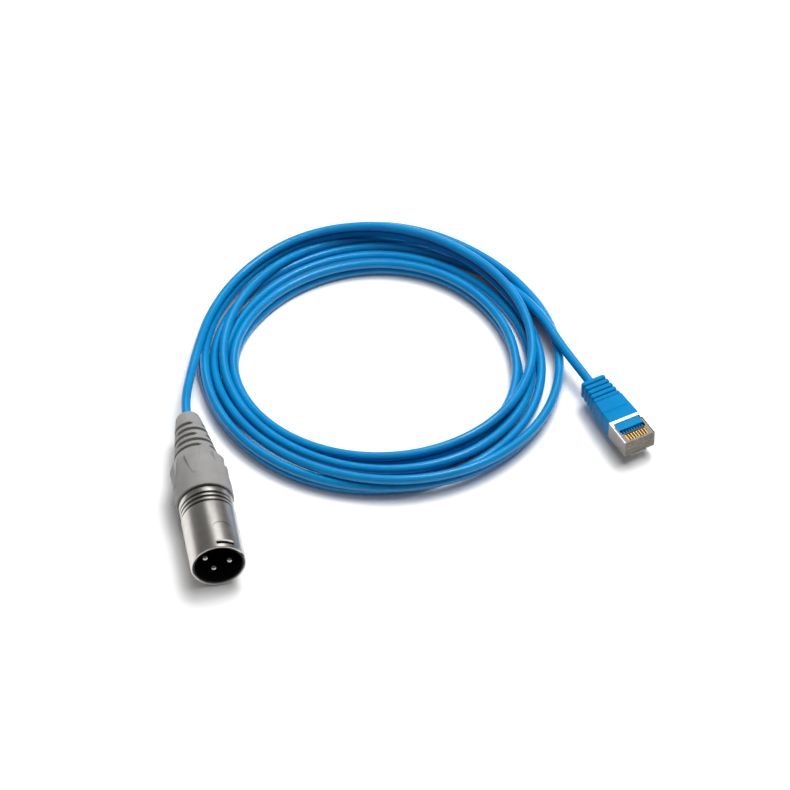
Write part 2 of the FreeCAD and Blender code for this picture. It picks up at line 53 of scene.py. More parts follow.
# the place and the lens come from a least-squares fit to the reference view
VIEW_TARGET = Vector((-0.00624, 0.0445, 0.0))
VIEW_ELEVATION = math.radians(46.0)
VIEW_DISTANCE = 1.6
VIEW_LENS = 212.9

camera_data = bpy.data.cameras.new("view_camera")
camera_data.lens = VIEW_LENS
camera_data.sensor_width = 36.0
camera_data.clip_start = 0.05
camera_data.clip_end = 20.0
camera = bpy.data.objects.new("view_camera", camera_data)
camera.location = VIEW_TARGET + VIEW_DISTANCE * Vector(
    (0.0, -math.cos(VIEW_ELEVATION), math.sin(VIEW_ELEVATION)))
camera.rotation_euler = (math.pi / 2 - VIEW_ELEVATION, 0.0, 0.0)
scene.collection.objects.link(camera)
scene.camera = camera
scene.view_settings.view_transform = "Standard"
scene.view_settings.look = "None"

world = bpy.data.worlds.new("studio")
world.use_nodes = True
world.node_tree.nodes["Background"].inputs["Color"].default_value = (1.0, 1.0, 1.0, 1.0)
world.node_tree.nodes["Background"].inputs["Strength"].default_value = 0.14
scene.world = world


def area_light(name, place, target, size, power, mirrored=True):
    """A rectangular lamp aimed at a point. One that isn't mirrored lights surfaces without a glint."""
    data = bpy.data.lights.new(name, "AREA")
    data.shape = "RECTANGLE"
    data.size, data.size_y = size
    data.energy = power
    light = bpy.data.objects.new(name, data)
    light.location = place
    light.visible_glossy = mirrored
    light.rotation_euler = (Vector(target) - Vector(place)).to_track_quat("-Z", "Y").to_euler()
    scene.collection.objects.link(light)
    return light


AIM = (0.0, 0.05, 0.0)
area_light("key_softbox", (0.30, 0.46, 1.3), AIM, (1.1, 1.1), 22.5, mirrored=False)
area_light("glint_strip", (0.30, 0.50, 1.3), AIM, (0.45, 0.26), 4.8)
area_light("back_card", (0.1, 1.45, 1.5), AIM, (1.2, 0.26), 3.0)
area_light("top_fill", (-0.1, -0.15, 1.6), AIM, (1.6, 1.6), 3.0, mirrored=False)


# ---------------------------------------------------------------- material tools

def socket(node, name, value):
    node.inputs[name].default_value = value


def principled(name, color, roughness, metallic=0.0, transmission=0.0, ior=1.5, specular=0.5):
    """A material with a Principled shader whose constants are set on its own sockets."""
    material = bpy.data.materials.new(name)
    material.use_nodes = True
    shader = material.node_tree.nodes["Principled BSDF"]
    socket(shader, "Base Color", (*color, 1.0))
    socket(shader, "Roughness", roughness)
    socket(shader, "Metallic", metallic)
    socket(shader, "Specular IOR Level", specular)
    socket(shader, "Transmission Weight", transmission)
    socket(shader, "IOR", ior)
    return material


def noise(material, scale, detail=4.0):
    """A noise texture in the object's own coordinates."""
    nodes, links = material.node_tree.nodes, material.node_tree.links
    coordinates = nodes.new("ShaderNodeTexCoord")
    texture = nodes.new("ShaderNodeTexNoise")
    socket(texture, "Scale", scale)
    socket(texture, "Detail", detail)
    links.new(coordinates.outputs["Object"], texture.inputs["Vector"])
    return texture.outputs["Fac"]


def ramp(material, factor, stops):
    """Colours along a ramp, driven by a texture."""
    node = material.node_tree.nodes.new("ShaderNodeValToRGB")
    elements = node.color_ramp.elements
    elements[0].position, elements[0].color = stops[0][0], (*stops[0][1], 1.0)
    elements[1].position, elements[1].color = stops[-1][0], (*stops[-1][1], 1.0)
    for position, color in stops[1:-1]:
        elements.new(position).color = (*color, 1.0)
    material.node_tree.links.new(factor, node.inputs["Fac"])
    return node.outputs["Color"]


def vary_color(material, factor, low, high, start=0.35, stop=0.65):
    shader = material.node_tree.nodes["Principled BSDF"]
    color = ramp(material, factor, [(start, low), (stop, high)])
    material.node_tree.links.new(color, shader.inputs["Base Color"])


def vary_roughness(material, factor, low, high):
    nodes, links = material.node_tree.nodes, material.node_tree.links
    span = nodes.new("ShaderNodeMapRange")
    socket(span, "To Min", low)
    socket(span, "To Max", high)
    links.new(factor, span.inputs["Value"])
    links.new(span.outputs["Result"], nodes["Principled BSDF"].inputs["Roughness"])


def bump(material, factor, distance, strength=1.0):
    """Adds a bump on top of any that the material has already."""
    nodes, links = material.node_tree.nodes, material.node_tree.links
    normal = nodes["Principled BSDF"].inputs["Normal"]
    node = nodes.new("ShaderNodeBump")
    socket(node, "Distance", distance)
    socket(node, "Strength", strength)
    if normal.links:
        links.new(normal.links[0].from_socket, node.inputs["Normal"])
    links.new(factor, node.inputs["Height"])
    links.new(node.outputs["Normal"], normal)


def moulded(name, color, dark, roughness, specular=0.4, grain=900.0):
    """Moulded plastic: soft colour mottling, a fine texture and a roughness that wanders a little."""
    material = principled(name, color, roughness, specular=specular)
    vary_color(material, noise(material, 160.0), dark, color)
    vary_roughness(material, noise(material, 420.0), roughness - 0.06, roughness + 0.08)
    bump(material, noise(material, grain, 2.0), 0.00004, 0.5)
    return material


def metal(name, color, dark, roughness, grain):
    """Plated metal: satin grain and faint tarnish."""
    material = principled(name, color, roughness, metallic=1.0)
    vary_color(material, noise(material, 240.0), dark, color, 0.3, 0.6)
    vary_roughness(material, noise(material, grain, 3.0), roughness - 0.06, roughness + 0.10)
    bump(material, noise(material, grain * 1.4, 2.0), 0.00002, 0.4)
    return material


jacket = principled("cable_jacket_blue", (0.0, 0.22, 0.52), 0.2, specular=0.4)
vary_color(jacket, noise(jacket, 90.0), (0.0, 0.205, 0.49), (0.0, 0.235, 0.54))
vary_roughness(jacket, noise(jacket, 700.0), 0.14, 0.22)
bump(jacket, noise(jacket, 1600.0, 2.0), 0.00002, 0.35)

boot_grey = moulded("boot_grey_plastic", (0.285, 0.28, 0.275), (0.255, 0.25, 0.245), 0.48)
boot_blue = moulded("boot_blue_plastic", (0.0, 0.21, 0.50), (0.0, 0.19, 0.45), 0.46, specular=0.1)
# painted shade: a darker copy of the boot's blue for the valleys between the cuff's rolls
valley_painted_shade = moulded("boot_valley_painted_shade", (0.0, 0.13, 0.32), (0.0, 0.11, 0.28), 0.5, specular=0.1)
bar_blue = moulded("bar_blue_plastic", (0.0, 0.225, 0.52), (0.0, 0.205, 0.47), 0.40, specular=0.1)
black = moulded("insert_black_plastic", (0.006, 0.006, 0.007), (0.004, 0.004, 0.005), 0.42)
chuck_cream = moulded("chuck_plastic", (0.72, 0.71, 0.66), (0.66, 0.65, 0.60), 0.5)
wire_amber = moulded("wire_insulation", (0.62, 0.36, 0.10), (0.52, 0.28, 0.07), 0.38)
nickel = metal("shell_nickel", (0.73, 0.70, 0.665), (0.64, 0.61, 0.575), 0.31, 2600.0)
bright = metal("pin_plating", (0.52, 0.51, 0.49), (0.44, 0.43, 0.41), 0.10, 1800.0)
# painted shade: a dark copy of the nickel for the ring grooves and the arch ridge over the window
groove = metal("groove_nickel_painted_shade", (0.17, 0.16, 0.15), (0.12, 0.11, 0.10), 0.42, 2600.0)
# lit and shaded copies of one plating: painted shade on the shield's sides, painted highlight on its
# band's top
tin_painted_shade = metal("shield_plating", (0.25, 0.235, 0.22), (0.18, 0.17, 0.155), 0.20, 1500.0)
tin_painted_highlight = metal("shield_plating_painted_highlight", (0.80, 0.785, 0.76), (0.70, 0.685, 0.66), 0.20, 1500.0)
gold = metal("contact_gold", (0.86, 0.50, 0.12), (0.74, 0.40, 0.08), 0.20, 1800.0)

clear = principled("clear_polycarbonate", (0.42, 0.36, 0.28), 0.14, transmission=0.6, ior=1.58)
vary_color(clear, noise(clear, 420.0, 3.0), (0.24, 0.19, 0.135), (0.44, 0.38, 0.29), 0.35, 0.7)
vary_roughness(clear, noise(clear, 500.0), 0.10, 0.22)
bump(clear, noise(clear, 700.0, 2.0), 0.00003, 0.4)

# painted shade: a near-black copy of the clear plastic for the contact slots
comb_painted_shade = principled("comb_painted_shade_polycarbonate", (0.06, 0.045, 0.03), 0.3, specular=0.3)
vary_roughness(comb_painted_shade, noise(comb_painted_shade, 500.0), 0.24, 0.36)
bump(comb_painted_shade, noise(comb_painted_shade, 700.0, 2.0), 0.00003, 0.4)

# painted light: the latch is a much lighter copy of the housing's clear, to lift it out of the shadow
# under the nose
latch_painted_light = principled("latch_polycarbonate_painted_light", (0.92, 0.91, 0.89), 0.18, transmission=0.6, ior=1.45)
vary_roughness(latch_painted_light, noise(latch_painted_light, 500.0), 0.14, 0.26)
bump(latch_painted_light, noise(latch_painted_light, 700.0, 2.0), 0.00003, 0.4)

paper = principled("floor_paper", (0.95, 0.95, 0.95), 0.8, specular=0.1)
bump(paper, noise(paper, 260.0), 0.00005, 0.15)


# ---------------------------------------------------------------- mesh tools

def connector_matrix(origin, forward, roll=0.0):
    """Local Z points out of the connector and local Y is its upper side, in millimetres."""
    out = Vector(forward).normalized()
    across = Vector((0.0, 0.0, 1.0)).cross(out)
    turn = Matrix((across, out.cross(across), out)).transposed().to_4x4()
    place = Matrix.Translation(Vector(origin))
    return place @ turn @ Matrix.Rotation(math.radians(-roll), 4, "Z") @ Matrix.Scale(MM, 4)


XLR = connector_matrix(JOINTS["boot_turn"]["pos_m"], -Vector(JOINTS["boot_turn"]["axis"]))
XLR_ROLL = Matrix.Rotation(math.radians(-18.0), 4, "Z")
# height of the middle of the modular plug above its underside
PLUG_MIDDLE = 3.4
plug_centre = Vector(MOUNTS["plug_nose"]["pos_m"])
PLUG = connector_matrix(plug_centre - Vector((0.0, 0.0, PLUG_MIDDLE * MM)), MOUNTS["plug_nose"]["axis"])


def add_object(name, mesh, material, body, slot_name, *stands_for):
    mesh.materials.append(material)
    piece = bpy.data.objects.new(name, mesh)
    scene.collection.objects.link(piece)
    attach(piece, body)
    if stands_for:
        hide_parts(*stands_for)
    return piece


def give_faces_painted_light(mesh, material, matrix, chosen):
    """Another material, one that paints light or shade, for the faces whose centre, in matrix's own units,
    and normal are chosen.
    """
    mesh.materials.append(material)
    to_local = matrix.inverted()
    for polygon in mesh.polygons:
        if chosen(to_local @ polygon.center, polygon.normal):
            polygon.material_index = len(mesh.materials) - 1


def mesh_from(name, points, faces, matrix, sharp=32.0):
    """A mesh of millimetre points placed by matrix, smooth except at edges sharper than sharp."""
    mesh = bpy.data.meshes.new(name)
    mesh.from_pydata([matrix @ Vector(point) for point in points], [], faces)
    mesh.validate()
    work = bmesh.new()
    work.from_mesh(mesh)
    bmesh.ops.remove_doubles(work, verts=work.verts, dist=1e-7)
    bmesh.ops.recalc_face_normals(work, faces=work.faces)
    work.to_mesh(mesh)
    work.free()
    mesh.shade_smooth()
    mesh.set_sharp_from_angle(angle=math.radians(sharp))
    return mesh


def rounded(profile, radius, closed=False, steps=3):
    """Rounds each corner of a (radius, height) profile by a short curve."""
    result = []
    count = len(profile)
    for index, corner in enumerate(profile):
        if not closed and index in (0, count - 1):
            result.append(corner)
            continue
        here = Vector(corner)
        before = Vector(profile[index - 1]) - here
        after = Vector(profile[(index + 1) % count]) - here
        reach = min(radius, before.length * 0.4, after.length * 0.4)
        start = here + before.normalized() * reach
        end = here + after.normalized() * reach
        for step in range(steps + 1):
            share = step / steps
            point = start * (1 - share) ** 2 + here * 2 * share * (1 - share) + end * share ** 2
            result.append((point.x, point.y))
    return result


def ring_points(radius, height, segments):
    """A ring of points about local Z."""
    angles = [2 * math.pi * index / segments for index in range(segments)]
    return [(radius * math.cos(angle), radius * math.sin(angle), height) for angle in angles]


def band(first, second, segments):
    """Faces between two rings of points, each given by the number of its first point."""
    faces = []
    for index in range(segments):
        right = (index + 1) % segments
        faces.append((first + index, first + right, second + right, second + index))
    return faces


def bands(rows, segments, closed=False):
    """Faces between neighbouring rings, and where closed between the last and the first."""
    faces = []
    for row in range(rows if closed else rows - 1):
        faces += band(row * segments, (row + 1) % rows * segments, segments)
    return faces


def lathe(name, profile, matrix, segments=128, closed=False):
    """A surface of revolution about local Z."""
    points = []
    for radius, height in profile:
        points += ring_points(radius, height, segments)
    return mesh_from(name, points, bands(len(profile), segments, closed), matrix)


def smooth(low, high, value):
    share = min(max((value - low) / (high - low), 0.0), 1.0)
    return share * share * (3.0 - 2.0 * share)


def along(profile, position):
    """The value of a profile of (position, value) pairs at a position."""
    for (start, first), (end, second) in zip(profile, profile[1:]):
        if position <= end:
            share = (position - start) / (end - start)
            return first + (second - first) * max(share, 0.0)
    return profile[-1][1]


# ---------------------------------------------------------------- the cable

# Routes of the stretches that are not coiled, in millimetres. The part's own source has the same points
# and one more for each lead, inside the coil, whose place the winding takes here.
XLR_LEAD = [(-76.4, 24.02, 9.8), (-77.67, 30.9, 9.8), (-76.0, 46.5, 8.8), (-73.5, 62.0, 8.2)]
PLUG_LEAD = [(45.0, 74.5, 7.7), (50.8, 60.5, 8.1), (57.46, 48.5, 7.7), (60.82, 42.36, 7.5)]
CABLE_DIAMETER = 3.2
WINDING_CENTRE = Vector((-10.4, 59.5, 0.0))

# Each turn's radius and height at twelve places round the winding, clockwise from the left. Most of these
# numbers are the rounded result of a separate program that kept the turns apart, and some were moved by
# hand afterwards. The program isn't part of this script, so they can't be worked out again from it.
TURNS = (
    ((61.6, 61.8, 61.2, 58.1, 54.0, 52.2, 51.4, 50.5, 49.5, 48.9, 49.7, 51.3),
     (8.4, 6.4, 8.3, 9.6, 9.2, 8.1, 7.2, 6.8, 6.2, 5.3, 4.8, 4.8)),
    ((51.3, 48.0, 45.4, 44.4, 43.9, 43.6, 45.3, 48.8, 49.8, 48.8, 48.7, 50.1),
     (4.8, 4.8, 4.8, 4.8, 4.8, 4.8, 4.8, 4.1, 2.8, 1.9, 1.6, 1.6)),
    ((51.3, 47.4, 45.2, 44.6, 44.3, 43.6, 45.9, 50.7, 53.1, 53.4, 53.3, 53.4),
     (1.6, 1.6, 1.6, 1.6, 1.6, 1.6, 1.6, 1.6, 1.6, 1.6, 1.6, 1.6)),
    ((54.4, 52.9, 52.5, 51.8, 50.4, 49.7, 50.8, 53.2, 54.6, 54.3, 53.8, 54.3),
     (1.6, 1.6, 1.6, 1.6, 1.6, 1.6, 2.3, 3.6, 4.4, 4.7, 5.0, 5.3)),
    ((54.9, 55.8, 58.3, 59.9, 59.9, 60.5, 60.6, 61.2, 61.8, 62.3, 62.4, 62.0),
     (5.3, 5.3, 4.0, 1.8, 1.6, 1.6, 1.6, 1.9, 3.0, 4.4, 4.9, 5.0)),
    ((61.2, 61.0, 61.3, 58.5, 54.0, 51.9, 54.3, 56.3, 57.7, 60.8, 61.9, 61.3),
     (4.7, 3.4, 5.3, 6.4, 5.9, 4.5, 2.6, 1.7, 1.6, 1.6, 1.6, 1.6)),
    ((62.5, 64.2, 65.6, 64.0, 59.6, 58.6, 60.5, 62.4, 62.8, 61.7, 59.3, 57.7),
     (1.6, 1.8, 2.8, 4.3, 4.8, 4.5, 4.7, 5.5, 6.6, 7.6, 6.8, 4.7)),
    ((58.1, 57.2, 56.2, 56.2, 54.7, 55.5),
     (2.7, 1.7, 1.6, 1.6, 1.6, 5.2)),
)
STEP = math.radians(15.0)
# a quadratic spline runs inside its control points by this much at that spacing
OUTSIDE = 8.0 / (6.0 + 2.0 * math.cos(STEP))


def with_midpoints(values):
    """Puts a smoothly interpolated value between each two neighbours."""
    result = []
    last = len(values) - 1
    for index in range(last):
        before = values[max(index - 1, 0)]
        after = values[min(index + 2, last)]
        here, following = values[index], values[index + 1]
        result += [here, (9.0 * (here + following) - before - after) / 16.0]
    return result + [values[-1]]


def winding():
    radii = with_midpoints([radius for turn in TURNS for radius in turn[0]])
    heights = with_midpoints([height for turn in TURNS for height in turn[1]])
    points = []
    for index, (radius, height) in enumerate(zip(radii, heights)):
        angle = math.pi - STEP * index
        reach = radius * OUTSIDE
        lift = max(height, CABLE_DIAMETER / 2)
        points.append(WINDING_CENTRE + Vector((reach * math.cos(angle), reach * math.sin(angle), lift)))
    return points


def make_cable():
    # the winding's first place is where the lead from the XLR comes in
    route = [Vector(point) for point in XLR_LEAD] + winding()[1:]
    route += [Vector(point) for point in PLUG_LEAD]
    data = bpy.data.curves.new("cable", "CURVE")
    data.dimensions = "3D"
    data.resolution_u = 8
    data.bevel_depth = CABLE_DIAMETER / 2 * MM
    data.bevel_resolution = 7
    data.use_fill_caps = True
    spline = data.splines.new("NURBS")
    spline.points.add(len(route) - 1)
    for point, place in zip(spline.points, route):
        point.co = (*(place * MM), 1.0)
    spline.order_u = 3
    spline.use_endpoint_u = True
    cable = bpy.data.objects.new("cable", data)
    scene.collection.objects.link(cable)
    data.materials.append(jacket)
    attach(cable, "cable")
    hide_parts("xlr_lead", "cable_coil", "plug_lead")
    return cable


cable = make_cable()

floor_mesh = mesh_from("floor", [(-4, -4, 0), (4, -4, 0), (4, 4, 0), (-4, 4, 0)], [(0, 1, 2, 3)],
                       Matrix.Translation((0, 0, -0.00002)))
floor_mesh.materials.append(paper)
floor = bpy.data.objects.new("floor", floor_mesh)
scene.collection.objects.link(floor)


# ---------------------------------------------------------------- XLR boot

BOOT_TIP = -68.0
BOOT_MOUTH = 39.6
# distance from the boot's tip, radius
BOOT_PROFILE = [(0.0, 3.4), (0.25, 3.75), (0.8, 4.1), (1.6, 4.3), (6.5, 5.3), (19.4, 7.45), (20.6, 7.75),
                (21.8, 8.15), (23.0, 8.55), (25.0, 8.95), (28.0, 9.3), (33.5, 9.76), (35.0, 9.8),
                (39.2, 9.72), (39.5, 9.62), (39.6, 9.45)]
# distance from the tip, middle of the first web, half the web, both in degrees
SLOT_ROWS = [(7.3, 62.0, 14.0), (10.3, 166.0, 8.0), (13.3, 62.0, 10.0), (16.3, 166.0, 8.0),
             (19.3, 62.0, 7.0)]
SLOT_HALF_WIDTH = 0.64
SLOT_DEPTH = 1.5
# where a tongue starts, and its half width in degrees there and further on
TONGUE_START = 23.2
TONGUE_WIDTH = [(23.0, 17.5), (27.0, 13.5), (31.0, 9.5), (32.6, 7.0), (33.4, 4.0), (33.8, 0.0)]
TONGUE_RELIEF = 0.2
TONGUE_MIDDLE = 103.0


def boot_radius(distance, angle):
    radius = along(BOOT_PROFILE, distance)
    for place, web, half_web in SLOT_ROWS:
        offset = abs(distance - place)
        if offset > 1.0:
            continue
        from_web = abs((angle - web + 90.0) % 180.0 - 90.0)
        # a slot narrows to a point beside each web
        opening = smooth(half_web, half_web + 16.0, from_web)
        half = SLOT_HALF_WIDTH * opening
        if half > 0.05:
            radius -= SLOT_DEPTH * opening * (1.0 - smooth(half - 0.1, half + 0.1, offset))
    if TONGUE_START < distance < 34.0:
        half = along(TONGUE_WIDTH, distance)
        from_middle = abs((angle - TONGUE_MIDDLE + 30.0) % 60.0 - 30.0)
        crest = 9.35 + 0.45 * smooth(TONGUE_START, TONGUE_START + 2.2, distance)
        lift = smooth(half + 1.3, half - 0.3, from_middle) if half > 0 else 0.0
        lift *= smooth(TONGUE_START, TONGUE_START + 0.9, distance)
        radius += max(crest - radius, TONGUE_RELIEF) * lift
    return radius


def make_boot():
    stations = []
    distance = 0.0
    while distance < BOOT_MOUTH:
        stations.append(distance)
        fine = 6.0 < distance < 20.6
        distance += 0.12 if fine or distance < 1.2 else 0.3
    stations += [39.4, 39.5, BOOT_MOUTH]
    stations = sorted(set(stations))
    segments = 288
    points = []
    for distance in stations:
        for index in range(segments):
            turn = 360.0 * index / segments
            radius = boot_radius(distance, turn)
            angle = math.radians(turn)
            points.append((radius * math.cos(angle), radius * math.sin(angle), BOOT_TIP + distance))
    # the inside: the mouth's lip, the thread, the cavity and the bore
    inside = [(8.9, 39.6), (8.45, 39.3), (8.4, 28.0), (6.6, 28.0), (6.6, 21.4), (4.5, 17.0),
              (2.3, 15.2), (2.3, 0.3), (2.45, 0.05), (2.7, 0.0)]
    for radius, distance in inside:
        points += ring_points(radius, BOOT_TIP + distance, segments)
    faces = bands(len(stations) + len(inside), segments, closed=True)
    mesh = mesh_from("xlr_boot_shape", points, faces, XLR, sharp=50.0)
    return add_object("xlr_boot_shape", mesh, boot_grey, "boot", "boot_grey", "xlr_boot")


make_boot()


# ---------------------------------------------------------------- XLR shell, pins and inside

def cut(piece, cutter_mesh):
    """Takes a solid away from a piece for good."""
    cutter = bpy.data.objects.new("cutter", cutter_mesh)
    scene.collection.objects.link(cutter)
    modifier = piece.modifiers.new("cut", "BOOLEAN")
    modifier.operation = "DIFFERENCE"
    modifier.solver = "EXACT"
    modifier.object = cutter
    bpy.context.view_layer.update()
    shaped = bpy.data.meshes.new_from_object(piece.evaluated_get(bpy.context.evaluated_depsgraph_get()))
    piece.modifiers.remove(modifier)
    piece.data = shaped
    bpy.data.objects.remove(cutter)


def block(name, low, high, matrix, bevel=0.0, segments=3):
    """A box between two corners in millimetres, with rounded edges."""
    mesh = bpy.data.meshes.new(name)
    work = bmesh.new()
    bmesh.ops.create_cube(work, size=1.0)
    size = Vector(high) - Vector(low)
    middle = (Vector(high) + Vector(low)) / 2
    bmesh.ops.scale(work, vec=size, verts=work.verts)
    bmesh.ops.translate(work, vec=middle, verts=work.verts)
    if bevel:
        bmesh.ops.bevel(work, geom=work.edges[:], offset=bevel, segments=segments, profile=0.5,
                        affect="EDGES")
    bmesh.ops.transform(work, matrix=matrix, verts=work.verts)
    bmesh.ops.recalc_face_normals(work, faces=work.faces)
    work.to_mesh(mesh)
    work.free()
    mesh.shade_smooth()
    mesh.set_sharp_from_angle(angle=math.radians(40.0))
    return mesh


def joined(name, meshes):
    """One mesh of several blocks."""
    work = bmesh.new()
    for part in meshes:
        work.from_mesh(part)
    mesh = bpy.data.meshes.new(name)
    work.to_mesh(mesh)
    work.free()
    mesh.shade_smooth()
    mesh.set_sharp_from_angle(angle=math.radians(40.0))
    return mesh


SHELL_PROFILE = [
    (8.62, -0.25), (8.85, 0.0), (9.1, 0.0), (9.3, -0.2), (9.3, -20.9), (8.98, -21.15), (8.6, -21.3),
    (8.6, -21.9), (9.12, -22.05), (9.12, -22.9), (8.55, -23.05), (8.55, -23.75), (9.12, -23.9),
    (9.12, -24.7), (8.5, -24.85), (8.5, -25.55), (9.1, -25.7), (9.1, -27.6), (8.0, -27.65),
    (8.0, -38.0), (6.6, -38.0), (6.6, -20.5), (8.6, -20.5), (8.6, -0.5)]
# two opposite corners of each cutter, and its rounding
WINDOW = ((-3.1, 7.0, -3.3), (3.1, 10.5, -1.4), 0.25)
KEYWAY = ((7.6, -1.1, -1.4), (9.12, 1.1, 0.6), 0.15)
KEYWAY_ANGLE = 44.0
THREAD_PITCH = 1.5
THREAD_START = -28.4
THREAD_LENGTH = 9.0
THREAD_ROOT = 7.98
THREAD_HEIGHT = 0.3
# the arch line over the window: half its width, its height, where it stands and its ridge
ARCH_HALF_WIDTH = 2.9
ARCH_HEIGHT = 1.7
ARCH_BASE = -9.6
ARCH_RIDGE = ((9.26, -0.16), (9.40, 0.0), (9.26, 0.16))
ARCH_STEPS = 24
ARCH_FOOT = 9.302
# the ring grooves, which get painted shade, start behind this place and lie between these radii
FIRST_GROOVE = -21.1
GROOVE_FLOOR = 8.3
GROOVE_TOP = 9.0


def make_thread():
    """The ridge that winds round the neck and that the boot screws on to."""
    rows, segments = 72, 96
    points = []
    for row in range(rows + 1):
        depth = THREAD_LENGTH * row / rows
        fade = min(row, rows - row, 6) / 6
        for index in range(segments):
            angle = 2 * math.pi * index / segments
            wave = 0.5 - 0.5 * math.cos(2 * math.pi * depth / THREAD_PITCH + angle)
            radius = THREAD_ROOT + THREAD_HEIGHT * wave * fade
            points.append((radius * math.cos(angle), radius * math.sin(angle), THREAD_START - depth))
    return mesh_from("thread", points, bands(rows + 1, segments), XLR)


# the faces that get painted shade: the arch ridge and the ring grooves
def in_painted_groove_shade(middle, normal):
    radius = middle.xy.length
    return radius > ARCH_FOOT or (middle.z < FIRST_GROOVE and GROOVE_FLOOR < radius < GROOVE_TOP)


def make_shell():
    profile = rounded(SHELL_PROFILE, 0.12, closed=True)
    mesh = lathe("xlr_shell_shape", profile, XLR @ XLR_ROLL, 192, closed=True)
    shell = add_object("xlr_shell_shape", mesh, nickel, "cable", "nickel_shell", "xlr_shell")
    low, high, bevel = WINDOW
    cut(shell, block("window", low, high, XLR @ XLR_ROLL, bevel))
    turned = XLR @ XLR_ROLL @ Matrix.Rotation(math.radians(KEYWAY_ANGLE), 4, "Z")
    low, high, bevel = KEYWAY
    cut(shell, block("keyway", low, high, turned, bevel))
    ridge = []
    for step in range(ARCH_STEPS + 1):
        share = 2 * step / ARCH_STEPS - 1.0
        across = ARCH_HALF_WIDTH * share
        back = ARCH_BASE - ARCH_HEIGHT * math.sqrt(1.0 - share * share)
        for radius, offset in ARCH_RIDGE:
            ridge.append((across, math.sqrt(radius ** 2 - across ** 2), back + offset))
    faces = [(3 * step + side, 3 * step + side + 1, 3 * step + side + 4, 3 * step + side + 3)
             for step in range(ARCH_STEPS) for side in (0, 1)]
    arch = mesh_from("arch", ridge, faces, XLR @ XLR_ROLL)
    shell.data = joined("xlr_shell_shape", [shell.data, arch, make_thread()])
    shell.data.materials.append(nickel)
    # painted shade darkens the ring grooves and the arch ridge
    give_faces_painted_light(shell.data, groove, XLR @ XLR_ROLL, in_painted_groove_shade)
    shell.data.shade_smooth()
    shell.data.set_sharp_from_angle(angle=math.radians(32.0))
    return shell


make_shell()


PIN_RADIUS = 1.2
PIN_SETBACK = -2.2
PIN_CIRCLE = 4.3
PIN_PLACES = ((-PIN_CIRCLE, 0.0), (PIN_CIRCLE, 0.0), (0.0, -PIN_CIRCLE))
DOME_STEPS = 8
# radius and height along the solder cup, from the pin's rear to the cup's floor
SOLDER_CUP = [(1.2, -25.0), (1.4, -25.0), (1.4, -27.5), (0.8, -27.5), (0.8, -25.3), (0.0, -25.3)]


def make_pins():
    """Three round pins with domed tips and hollow solder cups."""
    angles = [step * math.pi / 2 / DOME_STEPS for step in range(DOME_STEPS + 1)]
    profile = [(PIN_RADIUS * math.sin(angle), PIN_SETBACK - PIN_RADIUS * (1 - math.cos(angle)))
               for angle in angles] + SOLDER_CUP
    for number, (px, py) in enumerate(PIN_PLACES, start=1):
        place = XLR @ XLR_ROLL @ Matrix.Translation((px, py, 0.0))
        mesh = lathe(f"xlr_pin_{number}_shape", profile, place, 64)
        add_object(f"xlr_pin_{number}_shape", mesh, bright, "cable", "pin_metal", f"xlr_pin_{number}")


make_pins()


# ---------------------------------------------------------------- ribbed boot of the modular plug

CUFF_FRONT = -10.6
CUFF_LENGTH = 21.4
RIDGE_PITCH = 2.16
RIDGE_COUNT = 5
RIDGES_END = RIDGE_PITCH * RIDGE_COUNT
RIDGE_HEIGHT = 1.0
RIDGE_SHAPE = 2.6
VALLEY_DEPTH = 0.45
# a fine line across the cuff: its place, half width and depth
LINE_PLACE = 16.3
LINE_HALF_WIDTH = 0.2
LINE_DEPTH = 0.14
STATION_STEP = 0.09
REAR_EDGE = 0.5
# radius and depth of the short collar round the cable
COLLAR = ((2.4, 0.0), (1.75, 0.25), (1.65, 3.0))
# the opening in front, as a share of the outline, and its depth
MOUTH_SHARE = 0.76
MOUTH_DEPTH = 4.0
CORNER_STEPS = 6
# distance from the rear end, half width, lowest and highest edge
CUFF_SECTIONS = [(0.0, 4.5, 0.1, 6.7), (10.8, 5.25, 0.05, 6.75), (21.4, 5.7, 0.0, 6.8)]


def cuff_section(distance):
    """Half width, low edge, high edge and inset of the ribs at a distance from the rear end."""
    half, low, high = (along([(s[0], s[k]) for s in CUFF_SECTIONS], distance) for k in (1, 2, 3))
    inset = 0.0
    if distance < RIDGES_END:
        share = (distance / RIDGE_PITCH) % 1.0
        # a rounded roll, then a narrow valley
        roll = math.sqrt(max(1.0 - abs(2.0 * share - 1.0) ** RIDGE_SHAPE, 0.0))
        inset = RIDGE_HEIGHT * (1.0 - roll)
    from_line = abs(distance - LINE_PLACE)
    if from_line < LINE_HALF_WIDTH:
        inset = LINE_DEPTH * (1.0 - from_line / LINE_HALF_WIDTH)
    return half, low, high, inset


def in_shaded_valley(middle, normal):
    """The valleys between the rolls get a darker blue, which is painted shade."""
    distance = middle.z - CUFF_FRONT + CUFF_LENGTH
    return distance > REAR_EDGE and cuff_section(distance)[3] > VALLEY_DEPTH


